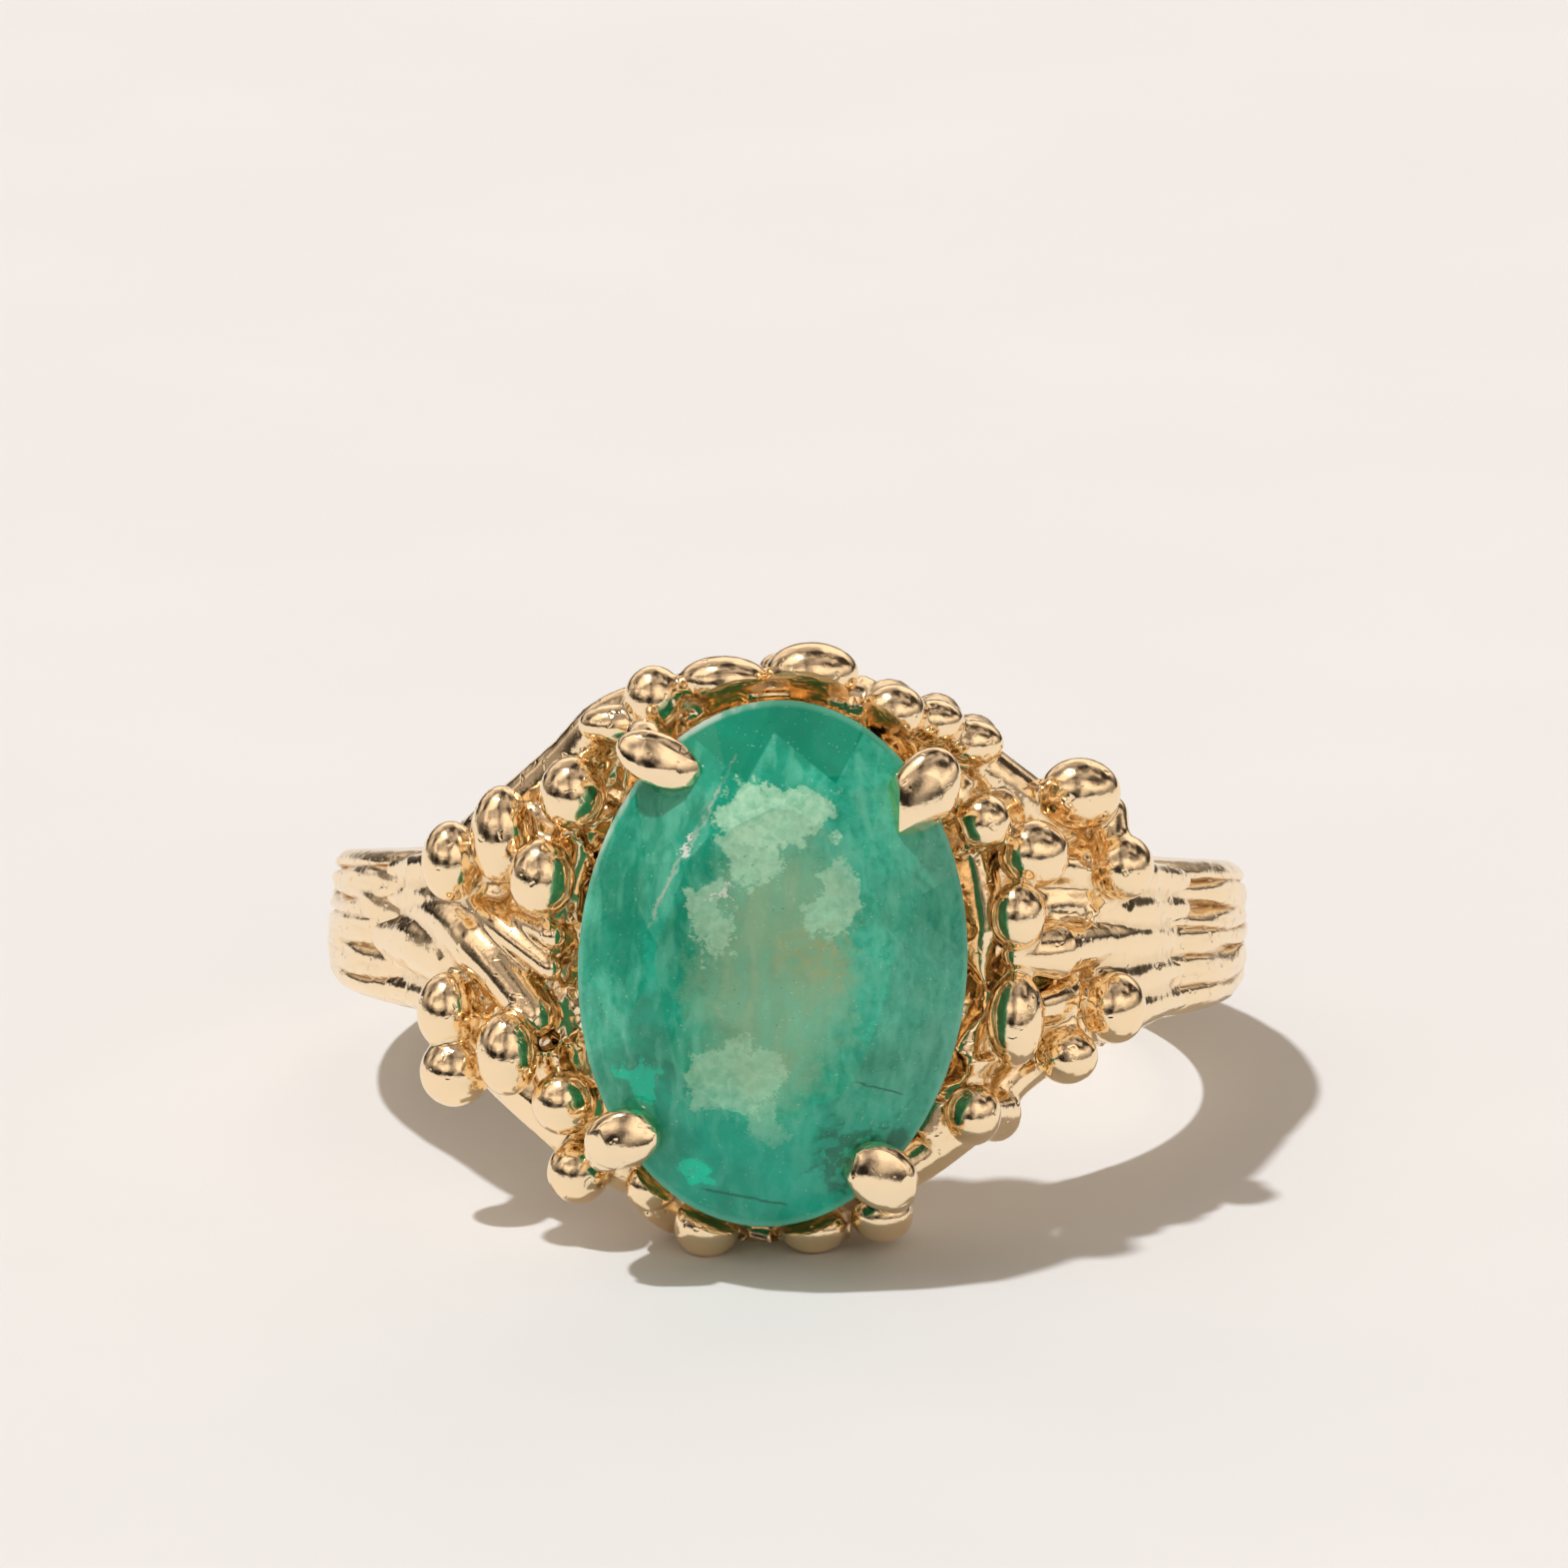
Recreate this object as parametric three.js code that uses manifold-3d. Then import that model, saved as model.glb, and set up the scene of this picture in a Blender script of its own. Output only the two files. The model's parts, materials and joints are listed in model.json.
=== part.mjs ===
// Cocktail ring: an oval faceted stone in four claws, on a bark-textured band with ball-tipped twigs.
// Millimetres, +Z up. The ring lies on its side, with the stone facing -Y and tipped slightly upwards.
//
// The pieces are drawn in the ring's own frame first: "across" is left to right, "along" is along the
// finger, and "out" is from the finger's axis towards the stone. The whole ring is then laid down.

import * as THREE from 'three';
import { ConvexGeometry } from 'three/addons/geometries/ConvexGeometry.js';
import { mergeVertices } from 'three/addons/utils/BufferGeometryUtils.js';
import Module from 'manifold-3d';

const wasm = await Module();
wasm.setup();

// ---- Driving dimensions -------------------------------------------------------------------------

const BORE_RADIUS = 8.5;
const SHANK_THICKNESS = 1.7;
const SHANK_BACK_WIDTH = 2.6;
const SHANK_SHOULDER_WIDTH = 3.7;
const SHANK_FLAT_HALF_ANGLE = 68;
const SHOULDER_ANGLE = 47;
const GROOVE_DEPTH = 0.16;

const STONE_WIDTH = 8.3;
const STONE_LENGTH = 11.25;
const STONE_TWIST = -2.8;
const STONE_ACROSS = -0.33;
const STONE_ALONG = -0.22;
const GIRDLE_OUT = 12.35;
const GIRDLE_THICKNESS = 0.3;
const CROWN_HEIGHT = 1.55;
const PAVILION_DEPTH = 2.9;
const TABLE_RATIO = 0.6;

const GALLERY_OUT = 9.2;
const SEAT_OUT = 11.3;
const WALL_OUT = 10.15;
const WALL_REACH = -0.2;
const WALL_HALF_THICKNESS = 0.42;
const WALL_HALF_HEIGHT = 0.95;
const SHOULDER_OVAL_DEPTH = 2.6;
const CLAW_RADIUS = 0.46;
const STALK_RADIUS = 0.44;
const FIT_GAP = 0.03;

const REST_LEAN = -14.43;
const REST_ROLL = 1.25;

const GOLD_COLOUR = 0xe0b574;
const STONE_COLOUR = 0x1f8a68;

// ---- Small helpers ------------------------------------------------------------------------------

const radians = THREE.MathUtils.degToRad;

function at(across, along, out) {
  return new THREE.Vector3(across, -out, along);
}

// A point over the stone's outline. "reach" is measured outwards from the girdle.
function aroundStone(angle, reach, out, ratio = 1) {
  const across = (STONE_WIDTH / 2 * ratio + reach) * Math.cos(radians(angle));
  const along = (STONE_LENGTH / 2 * ratio + reach) * Math.sin(radians(angle));
  const twist = radians(STONE_TWIST);
  return at(
    STONE_ACROSS + across * Math.cos(twist) - along * Math.sin(twist),
    STONE_ALONG + across * Math.sin(twist) + along * Math.cos(twist),
    out
  );
}

function toSolid(geometry) {
  const bare = geometry.clone();
  bare.deleteAttribute('normal');
  bare.deleteAttribute('uv');
  const merged = mergeVertices(bare, 1e-4);
  const position = merged.attributes.position;
  const kept = [];
  for (let i = 0; i < merged.index.count; i += 3) {
    const a = merged.index.getX(i);
    const b = merged.index.getX(i + 1);
    const c = merged.index.getX(i + 2);
    if (a !== b && b !== c && a !== c) {
      kept.push(a, b, c);
    }
  }
  return new wasm.Manifold(new wasm.Mesh({
    numProp: 3,
    vertProperties: new Float32Array(position.array),
    triVerts: new Uint32Array(kept)
  }));
}

function toGeometry(solid) {
  const mesh = solid.getMesh();
  const geometry = new THREE.BufferGeometry();
  geometry.setAttribute('position', new THREE.BufferAttribute(mesh.vertProperties, mesh.numProp));
  geometry.setIndex(new THREE.BufferAttribute(mesh.triVerts, 1));
  return geometry;
}

// A round limb along a smooth curve, whose radius changes evenly from start to end.
function limb(points, startRadius, endRadius, steps = 10, sides = 10, closed = false) {
  const curve = new THREE.CatmullRomCurve3(points, closed, 'centripetal');
  const section = new THREE.Shape();
  section.absarc(0, 0, 1, 0, Math.PI * 2);
  const geometry = new THREE.ExtrudeGeometry(
    section,
    { steps: steps, bevelEnabled: false, extrudePath: curve, curveSegments: sides / 2 }
  );
  const stations = curve.getSpacedPoints(steps);
  const tangents = stations.map((station, number) => curve.getTangentAt(number / steps));
  const position = geometry.attributes.position;
  const point = new THREE.Vector3();
  for (let i = 0; i < position.count; i += 1) {
    point.fromBufferAttribute(position, i);
    // Each corner of the unit section lies one unit from its own station, square to the curve.
    let nearest = 0;
    let least = Infinity;
    stations.forEach((station, number) => {
      const offset = point.clone().sub(station);
      const miss = Math.abs(offset.length() - 1) + Math.abs(offset.dot(tangents[number]));
      if (miss < least) {
        least = miss;
        nearest = number;
      }
    });
    const share = nearest / steps;
    const radius = startRadius + (endRadius - startRadius) * share;
    point.sub(stations[nearest]).multiplyScalar(radius).add(stations[nearest]);
    position.setXYZ(i, point.x, point.y, point.z);
  }
  return toSolid(geometry);
}

// A closed oval rail: a torus whose centre line is moved onto the stone's outline. "height" makes it
// taller than it is thick, for the wall of the basket.
function ovalRail(reach, out, radius, height = radius) {
  const torus = new THREE.TorusGeometry(4, radius, 8, 28);
  const position = torus.attributes.position;
  for (let i = 0; i < position.count; i += 1) {
    const x = position.getX(i);
    const y = position.getY(i);
    const angle = THREE.MathUtils.radToDeg(Math.atan2(y, x));
    const sideways = Math.hypot(x, y) - 4;
    const rise = position.getZ(i) * height / radius;
    const moved = aroundStone(angle, reach + sideways, out + rise);
    position.setXYZ(i, moved.x, moved.y, moved.z);
  }
  return toSolid(torus);
}

// A twig: a turned stalk with a ball tip, laid from its root to the centre of the ball.
function twig(root, tip, ballRadius, stalkRadius, wide = 1, tall = 1, extra = 0) {
  const length = tip.distanceTo(root);
  const ball = ballRadius + extra;
  const neck = Math.min(stalkRadius, ballRadius * 0.72) + extra;
  const foot = stalkRadius * 1.2 + extra;
  const start = Math.asin(neck / ball);
  const profile = [new THREE.Vector2(0, -extra), new THREE.Vector2(foot, -extra)];
  const rows = 6;
  for (let k = 0; k <= rows; k += 1) {
    const turn = Math.PI - start - (Math.PI - start) * k / rows;
    const x = k === rows ? 0 : ball * Math.sin(turn);
    profile.push(new THREE.Vector2(x, length + ball * Math.cos(turn)));
  }
  const geometry = new THREE.LatheGeometry(profile, 10);
  geometry.scale(wide, 1, tall);
  const direction = tip.clone().sub(root).normalize();
  const turnUp = new THREE.Quaternion().setFromUnitVectors(new THREE.Vector3(0, 1, 0), direction);
  geometry.applyQuaternion(turnUp);
  geometry.translate(root.x, root.y, root.z);
  return toSolid(geometry);
}

// ---- The stone ----------------------------------------------------------------------------------

// Rings of corners, from the table down to the culet. Their convex hull is the cut stone.
function cutStone(extra = 0) {
  const points = [];
  const mainStep = 45;
  const halfStep = 22.5;
  const starRatio = 0.8;
  const pavilionRatio = 0.3;
  const crownTop = GIRDLE_OUT + GIRDLE_THICKNESS;
  const lean = Math.cos(radians(halfStep));
  const starRise = CROWN_HEIGHT * (1 - lean * starRatio) / (1 - TABLE_RATIO);
  const pavilionDrop = PAVILION_DEPTH * (1 - lean * pavilionRatio);
  for (let k = 0; k < 8; k += 1) {
    const main = k * mainStep;
    const half = main + halfStep;
    points.push(aroundStone(main, extra, crownTop + CROWN_HEIGHT + extra, TABLE_RATIO));
    points.push(aroundStone(half, extra, crownTop + starRise + extra, starRatio));
    points.push(aroundStone(half, extra, GIRDLE_OUT - pavilionDrop - extra, pavilionRatio));
  }
  for (let angle = 0; angle < 360; angle += 11.25) {
    points.push(aroundStone(angle, extra, crownTop + extra));
    points.push(aroundStone(angle, extra, GIRDLE_OUT - extra));
  }
  points.push(aroundStone(0, -STONE_WIDTH / 2, GIRDLE_OUT - PAVILION_DEPTH - extra));
  return toSolid(new ConvexGeometry(points));
}

// ---- The band -----------------------------------------------------------------------------------

// How deep the bark is worn at a place across the band (-1 to 1) and an angle round it.
function barkDepth(place, angle) {
  let depth = 0;
  for (let groove = -1.5; groove <= 1.5; groove += 1) {
    const wander = 0.07 * Math.sin(angle * 3.1 + groove * 2.3);
    const middle = groove * 0.46 + wander;
    const away = (place - middle) / 0.11;
    depth += Math.exp(-away * away);
  }
  return Math.min(depth, 1);
}

// The band is a straight bar bent round the finger, from one shoulder round the back to the other.
function band(extra = 0) {
  const lanes = 13;
  const half = 1;
  const shape = new THREE.Shape();
  shape.moveTo(0, -half);
  shape.lineTo(0.62, -half);
  for (let k = 1; k < lanes; k += 1) {
    shape.lineTo(1, -half + 2 * half * k / lanes);
  }
  shape.lineTo(0.62, half);
  shape.lineTo(0, half);
  const geometry = new THREE.ExtrudeGeometry(
    shape,
    { steps: 38, depth: 1, bevelEnabled: false, curveSegments: 1 }
  );
  const sweep = 360 - 2 * SHOULDER_ANGLE;
  const endExtra = extra / BORE_RADIUS;
  const position = geometry.attributes.position;
  for (let i = 0; i < position.count; i += 1) {
    const depth = position.getX(i);
    const place = position.getY(i);
    const share = position.getZ(i);
    const fromHead = radians(SHOULDER_ANGLE + sweep * share);
    const fromBack = Math.abs(sweep * (share - 0.5));
    const rise = Math.max(0, fromBack - SHANK_FLAT_HALF_ANGLE) / (sweep / 2 - SHANK_FLAT_HALF_ANGLE);
    const width = SHANK_BACK_WIDTH + (SHANK_SHOULDER_WIDTH - SHANK_BACK_WIDTH) * rise;
    const crown = 1 - 0.22 * place * place;
    let thickness = SHANK_THICKNESS * depth;
    if (depth > 0.9) {
      thickness = SHANK_THICKNESS * crown - GROOVE_DEPTH * barkDepth(place, fromHead);
    }
    const radius = BORE_RADIUS + thickness + (depth > 0.5 ? extra : -extra);
    const angle = fromHead + (share < 0.01 ? -endExtra : 0) + (share > 0.99 ? endExtra : 0);
    const along = place * width / 2 + Math.sign(place) * extra;
    position.setXYZ(i, -radius * Math.sin(angle), -radius * Math.cos(angle), along);
  }
  return toSolid(geometry);
}

// A shoulder: the solid branch stump that fills the end of the band and carries the twigs' roots.
function shoulder(side, extra = 0) {
  const inner = BORE_RADIUS + 0.04 - extra;
  const start = radians(90 - SHOULDER_ANGLE - 0.4) - extra / inner;
  const end = radians(90 - 24) + extra / inner;
  const shape = new THREE.Shape();
  shape.absarc(0, 0, inner, start, end);
  shape.bezierCurveTo(3.6 - extra, 8.6, 4.2 - extra, 9.4 + extra, 5.2, 9.5 + extra);
  shape.bezierCurveTo(6.2, 9.4 + extra, 7.0 + extra, 8.4, 7.35 + extra, 7.05 - extra);
  const half = SHANK_SHOULDER_WIDTH / 2 + 0.25 + extra;
  const geometry = new THREE.ExtrudeGeometry(
    shape,
    { steps: 1, depth: 2 * half, bevelEnabled: false, curveSegments: 6 }
  );
  geometry.translate(0, 0, -half);
  // The section is drawn with "out" up the page, so it is turned until "out" is -Y.
  geometry.rotateX(Math.PI);
  // An oval bar along the slope takes the corners off both long edges.
  const bar = new THREE.CylinderGeometry(1, 1, 12, 20);
  bar.scale(SHOULDER_OVAL_DEPTH + extra, 1, half * 1.12);
  bar.rotateZ(radians(-52));
  bar.translate(5.2, -7.4, 0);
  const solid = toSolid(geometry).intersect(toSolid(bar));
  return side > 0 ? solid : solid.mirror([1, 0, 0]);
}

// ---- The claws ----------------------------------------------------------------------------------

function claw(angle, long, wide, extra = 0) {
  const leg = limb(
    [
      aroundStone(angle, -1.25, GALLERY_OUT + 0.1),
      aroundStone(angle, -0.25, SEAT_OUT),
      aroundStone(angle, 0.36, GIRDLE_OUT - 0.2),
      aroundStone(angle, 0.4, GIRDLE_OUT + 0.45),
      aroundStone(angle, 0.05, GIRDLE_OUT + 0.85)
    ],
    CLAW_RADIUS + extra,
    CLAW_RADIUS * 0.95 + extra,
    8,
    8
  );
  const centre = aroundStone(angle, 0.02, GIRDLE_OUT + 0.86);
  const inward = aroundStone(angle, -1, GIRDLE_OUT + 1.0).sub(centre).normalize();
  const side = new THREE.Vector3().crossVectors(at(0, 0, 1), inward).normalize();
  const up = new THREE.Vector3().crossVectors(inward, side);
  const tip = new THREE.SphereGeometry(1, 10, 6);
  tip.scale(long / 2 + extra, 0.42 + extra, wide / 2 + extra);
  tip.applyMatrix4(new THREE.Matrix4().makeBasis(inward, up, side.negate()));
  tip.translate(centre.x, centre.y, centre.z);
  return leg.add(toSolid(tip));
}

// ---- The pieces ---------------------------------------------------------------------------------

// Each piece gives its own solid. "extra" makes the same shape a little larger all round, which is
// what its neighbours are cut back to, so that soldered pieces keep a hairline gap.
const pieces = [];

function piece(name, material, shape) {
  pieces.push({ name: name, material: material, shape: shape });
}

const gold = new THREE.MeshStandardMaterial({ color: GOLD_COLOUR, roughness: 0.22, metalness: 1 });
const gem = new THREE.MeshStandardMaterial({ color: STONE_COLOUR, roughness: 0.06, metalness: 0 });

piece('emerald', gem, (extra) => cutStone(extra));
piece('shank', gold, (extra) => band(extra));
piece('basket_wall', gold, (extra) => ovalRail(
  WALL_REACH, WALL_OUT, WALL_HALF_THICKNESS + extra, WALL_HALF_HEIGHT + extra
));
piece('shoulder_left', gold, (extra) => shoulder(-1, extra));
piece('shoulder_right', gold, (extra) => shoulder(1, extra));

function rail(name, points, startRadius, endRadius) {
  piece(name, gold, (extra) => limb(points, startRadius + extra, endRadius + extra));
}

rail('rail_upper_left', [
  at(-7.0, 1.1, 6.1),
  at(-6.2, 2.25, 7.8),
  at(-4.75, 3.75, 9.1),
  at(-3.75, 4.85, 9.7),
  at(-2.0, 5.45, 9.9),
  at(0.1, 5.6, 9.95)
], 0.85, 0.52);
rail('rail_upper_right', [
  at(7.0, 1.1, 6.1),
  at(6.2, 2.0, 7.8),
  at(4.6, 3.4, 9.1),
  at(3.3, 4.4, 9.6),
  at(1.9, 5.25, 9.9),
  at(0.3, 5.6, 9.95)
], 0.85, 0.52);
rail('rail_lower_left', [
  at(-7.0, -1.1, 6.1),
  at(-6.1, -2.5, 7.8),
  at(-5.1, -3.4, 8.9),
  at(-4.0, -4.35, 9.5),
  at(-2.2, -5.25, 9.75),
  at(-0.55, -5.45, 9.8)
], 0.85, 0.5);
rail('rail_lower_right', [
  at(7.0, -1.1, 6.1),
  at(6.1, -1.75, 7.7),
  at(4.9, -2.65, 8.9),
  at(3.7, -3.9, 9.5),
  at(1.9, -5.05, 9.75),
  at(-0.4, -5.45, 9.8)
], 0.85, 0.5);

piece('ridge_left_upper', gold, (extra) => twig(
  at(-7.05, 1.0, 8.2), at(-5.1, -0.6, 10.5), 0.42, 0.4, 1, 1, extra
));
piece('ridge_left_lower', gold, (extra) => twig(
  at(-7.5, 0.35, 7.6), at(-5.45, -1.4, 10.3), 0.46, 0.44, 1, 1, extra
));
piece('ridge_left_small', gold, (extra) => twig(
  at(-6.2, 0.65, 8.6), at(-5.05, 0.2, 10.6), 0.36, 0.34, 1, 1, extra
));
piece('ridge_right', gold, (extra) => twig(
  at(7.5, 0.05, 7.5), at(4.95, -0.05, 10.6), 0.46, 0.5, 1, 1, extra
));

piece('gallery_rail', gold, (extra) => ovalRail(-1.25, GALLERY_OUT, 0.42 + extra));
piece('seat_rail', gold, (extra) => ovalRail(-1.0, SEAT_OUT, 0.32 + extra));

piece('claw_upper_right', gold, (extra) => claw(44, 1.65, 1.3, extra));
piece('claw_upper_left', gold, (extra) => claw(131, 1.75, 1.15, extra));
piece('claw_lower_left', gold, (extra) => claw(224, 1.5, 1.15, extra));
piece('claw_lower_right', gold, (extra) => claw(309, 1.5, 1.2, extra));

function ballTwig(name, root, tip, ballRadius, wide = 1, tall = 1) {
  piece(name, gold, (extra) => twig(root, tip, ballRadius, STALK_RADIUS, wide, tall, extra));
}

// The twigs run clockwise from the top, as seen from the stone's side.
ballTwig('twig_top_left', at(-1.5, 5.7, 10.1), at(-1.45, 5.6, 11.2), 0.52);
ballTwig('twig_top', at(0.4, 5.8, 10.1), at(0.43, 5.72, 11.4), 0.72);
ballTwig('twig_top_right', at(2.1, 5.35, 10.1), at(2.08, 4.95, 11.4), 0.53);
ballTwig('twig_upper_right_crest', at(3.1, 4.9, 9.9), at(3.05, 4.9, 10.8), 0.45);
ballTwig('twig_upper_right_crest_2', at(3.9, 4.45, 9.6), at(3.9, 4.45, 10.5), 0.43);
ballTwig('twig_right_outer_high', at(6.1, 2.6, 8.0), at(6.4, 3.3, 9.2), 0.58);
ballTwig('twig_right_high', at(4.7, 2.9, 8.9), at(4.3, 2.73, 11.2), 0.47);
ballTwig('twig_right_middle_high', at(5.5, 1.8, 8.0), at(5.49, 2.05, 10.5), 0.5);
ballTwig('twig_right_outer', at(6.75, 1.1, 7.3), at(7.2, 1.75, 9.0), 0.52);
ballTwig('twig_right_inner', at(5.1, 0.8, 8.4), at(4.85, 0.78, 11.1), 0.48);
ballTwig('twig_right_inner_low', at(5.2, -1.1, 8.3), at(4.89, -1.45, 10.7), 0.6);
ballTwig('twig_right_outer_low', at(6.7, -0.9, 7.3), at(7.07, -1.29, 8.95), 0.54);
ballTwig('twig_right_low', at(5.6, -1.7, 8.0), at(6.04, -2.31, 9.6), 0.46);
ballTwig('twig_lower_right', at(4.5, -3.6, 9.3), at(4.01, -3.5, 10.9), 0.48);
ballTwig('twig_bottom_right', at(2.1, -5.15, 9.9), at(2.09, -5.55, 11.0), 0.52);
ballTwig('twig_bottom', at(0.6, -5.4, 9.95), at(0.61, -6.01, 10.85), 0.52);
ballTwig('twig_bottom_left', at(-1.6, -5.35, 9.9), at(-1.66, -5.95, 10.85), 0.64);
ballTwig('twig_lower_left_inner', at(-2.8, -5.05, 9.7), at(-2.89, -5.15, 10.8), 0.44);
ballTwig('twig_lower_left', at(-4.3, -4.6, 9.4), at(-4.45, -4.9, 10.2), 0.56);
ballTwig('twig_left_low', at(-4.8, -3.5, 9.0), at(-4.77, -3.38, 10.7), 0.53);
ballTwig('twig_left_middle_low', at(-5.6, -1.9, 8.1), at(-5.99, -2.34, 10.5), 0.58);
ballTwig('twig_left_outer_middle', at(-7.0, -0.9, 7.2), at(-7.33, -1.55, 9.0), 0.6);
ballTwig('twig_left_outer_low', at(-6.5, -2.1, 7.5), at(-7.15, -2.85, 9.0), 0.62);
ballTwig('twig_left_outer_high', at(-6.9, 1.0, 7.3), at(-7.3, 1.7, 9.1), 0.54);
ballTwig('twig_left_middle_high', at(-6.0, 1.6, 7.8), at(-6.2, 2.32, 9.8), 0.57);
ballTwig('twig_left_inner', at(-5.4, 1.2, 8.2), at(-5.3, 1.44, 10.8), 0.5);
ballTwig('twig_upper_left', at(-4.7, 3.6, 9.1), at(-4.66, 3.27, 10.8), 0.55);
ballTwig('twig_crown_left', at(-2.95, 5.4, 9.9), at(-2.91, 5.3, 11.1), 0.45);

// ---- Cut each piece back to the pieces before it ------------------------------------------------

function largestBody(solid) {
  const bodies = solid.decompose();
  return bodies.reduce((best, body) => (body.volume() > best.volume() ? body : best), bodies[0]);
}

function overlaps(a, b) {
  const boxA = a.boundingBox();
  const boxB = b.boundingBox();
  return [0, 1, 2].every((k) => boxA.min[k] < boxB.max[k] && boxB.min[k] < boxA.max[k]);
}

const ring = new THREE.Group();
ring.name = 'cocktail_ring';
const grown = [];
pieces.forEach(({ name, material, shape }) => {
  let solid = shape(0);
  grown.filter((other) => overlaps(other, solid)).forEach((other) => {
    solid = solid.subtract(other);
  });
  solid = largestBody(solid.simplify(0.004));
  grown.push(shape(FIT_GAP));
  const mesh = new THREE.Mesh(toGeometry(solid), material);
  mesh.name = name;
  ring.add(mesh);
});

// ---- Lay the ring down --------------------------------------------------------------------------

ring.rotation.set(radians(REST_LEAN), radians(REST_ROLL), 0);
const group = new THREE.Group();
group.name = 'ring_at_rest';
group.add(ring);
group.updateMatrixWorld(true);
const extent = new THREE.Box3().setFromObject(group, true);
group.position.set(
  -(extent.min.x + extent.max.x) / 2,
  -(extent.min.y + extent.max.y) / 2,
  -extent.min.z
);

export default group;
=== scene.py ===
# %% [markdown]
# # A cocktail ring, from the workshop's drawing to a finished look
#
# The drawing of the ring comes in as a frame of plain solids: the stone, the four claws, the band, and
# the branches and ball-tipped twigs round the head. This lesson builds the finished look over that frame.
# The ring is modelled the way a caster sees it: the soft, fused metal of the head is one skin, the band is
# a bent bar with bark cut into it, and the stone is cut facet by facet.

# %% Load the frame
import json
import math

import bmesh
import bpy
from mathutils import Matrix, Vector, noise


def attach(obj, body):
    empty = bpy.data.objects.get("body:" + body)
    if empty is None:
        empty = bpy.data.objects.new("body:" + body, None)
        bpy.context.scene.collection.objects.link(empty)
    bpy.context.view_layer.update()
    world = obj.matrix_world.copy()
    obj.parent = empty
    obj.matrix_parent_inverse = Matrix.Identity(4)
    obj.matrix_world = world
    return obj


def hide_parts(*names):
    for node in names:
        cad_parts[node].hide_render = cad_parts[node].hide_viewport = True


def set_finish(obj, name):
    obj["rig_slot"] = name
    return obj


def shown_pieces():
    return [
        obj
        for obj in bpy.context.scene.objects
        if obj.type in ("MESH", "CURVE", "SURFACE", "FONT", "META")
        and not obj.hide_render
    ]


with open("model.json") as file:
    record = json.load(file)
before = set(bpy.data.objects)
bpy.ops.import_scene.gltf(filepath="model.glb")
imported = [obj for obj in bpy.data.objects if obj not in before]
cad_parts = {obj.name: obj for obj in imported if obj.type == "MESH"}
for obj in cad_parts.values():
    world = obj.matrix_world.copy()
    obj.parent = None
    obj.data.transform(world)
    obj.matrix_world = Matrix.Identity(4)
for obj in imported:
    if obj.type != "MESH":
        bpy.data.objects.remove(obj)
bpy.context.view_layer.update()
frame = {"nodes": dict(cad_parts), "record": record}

# %% [markdown]
# ## The ring's own directions
#
# The ring lies tipped on its side, so world axes are awkward to model in. Two flat faces are stated in the
# record: the stone's top facet and the band's side wall. Their outward directions are the way out of the
# finger and the way along it, and the third direction runs across the head. Everything is modelled in
# millimetres in those directions, and one matrix lays it down in metres.

# %% Directions and the laying-down matrix
STONE_ACROSS, STONE_ALONG, TABLE_OUT = -0.33, -0.22, 14.2
mounts = {m["name"]: m for m in frame["record"]["mounts"]}
out_way = Vector(mounts["stone_table"]["axis"]).normalized()
along_way = Vector(mounts["shank_side"]["axis"]).normalized()
across_way = along_way.cross(out_way).normalized()
table_point = Vector(mounts["stone_table"]["pos_m"])
MM = 0.001
finger_centre = table_point - MM * (
    TABLE_OUT * out_way + STONE_ACROSS * across_way + STONE_ALONG * along_way
)
turn_down = Matrix((across_way, -out_way, along_way)).transposed()
lay_down = Matrix.Translation(finger_centre) @ (turn_down * MM).to_4x4()


def at(across, along, out):
    """A point in the ring's own millimetres."""
    return Vector((across, -out, along))


print("finger's centre, mm:", [round(x * 1000, 2) for x in finger_centre])

# %% [markdown]
# ## Putting a finished mesh into the scene
#
# Each piece is shaped in a bmesh, laid down by the matrix, and linked with its object at the origin. It
# rides on the frame's only body, stands for the plain solids it covers, and names its material slot.
# Edges that turn by more than about forty degrees are marked sharp, so that filed flats stay crisp while
# cast surfaces stay soft.

# %% Helpers that finish a piece
SHARP = math.radians(40)


def add_object(name, bm):
    """Links a bmesh as a plain object and frees it."""
    mesh = bpy.data.meshes.new(name)
    bm.to_mesh(mesh)
    bm.free()
    made = bpy.data.objects.new(name, mesh)
    bpy.context.scene.collection.objects.link(made)
    return made


def finish_piece(name, bm, covers, slot_name, smooth=True):
    """Turns a bmesh in ring millimetres into a placed piece of the object."""
    bmesh.ops.transform(bm, matrix=lay_down, verts=bm.verts)
    bmesh.ops.recalc_face_normals(bm, faces=bm.faces)
    for face in bm.faces if smooth else []:
        face.smooth = True
    for edge in bm.edges:
        edge.smooth = edge.calc_face_angle(0) < SHARP
    triangles = sum(len(face.verts) - 2 for face in bm.faces)
    piece = add_object(name, bm)
    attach(piece, "root")
    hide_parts(*covers)
    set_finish(piece, slot_name)
    print(f"{name}: {triangles} triangles")
    return piece


def evaluated(lump):
    """The mesh that an object's modifiers give, as a bmesh. The object is removed."""
    graph = bpy.context.evaluated_depsgraph_get()
    result = bmesh.new()
    result.from_mesh(lump.evaluated_get(graph).to_mesh())
    mesh = lump.data
    bpy.data.objects.remove(lump)
    bpy.data.meshes.remove(mesh)
    return result


def fuse(bm, voxel, passes):
    """Melts overlapping solids into one skin, as solder and wax do, and softens it."""
    lump = add_object("melt", bm)
    remesh = lump.modifiers.new("one skin", "REMESH")
    remesh.mode = "VOXEL"
    remesh.voxel_size = voxel
    soften = lump.modifiers.new("soften", "SMOOTH")
    soften.factor = 0.5
    soften.iterations = passes
    return evaluated(lump)


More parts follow.
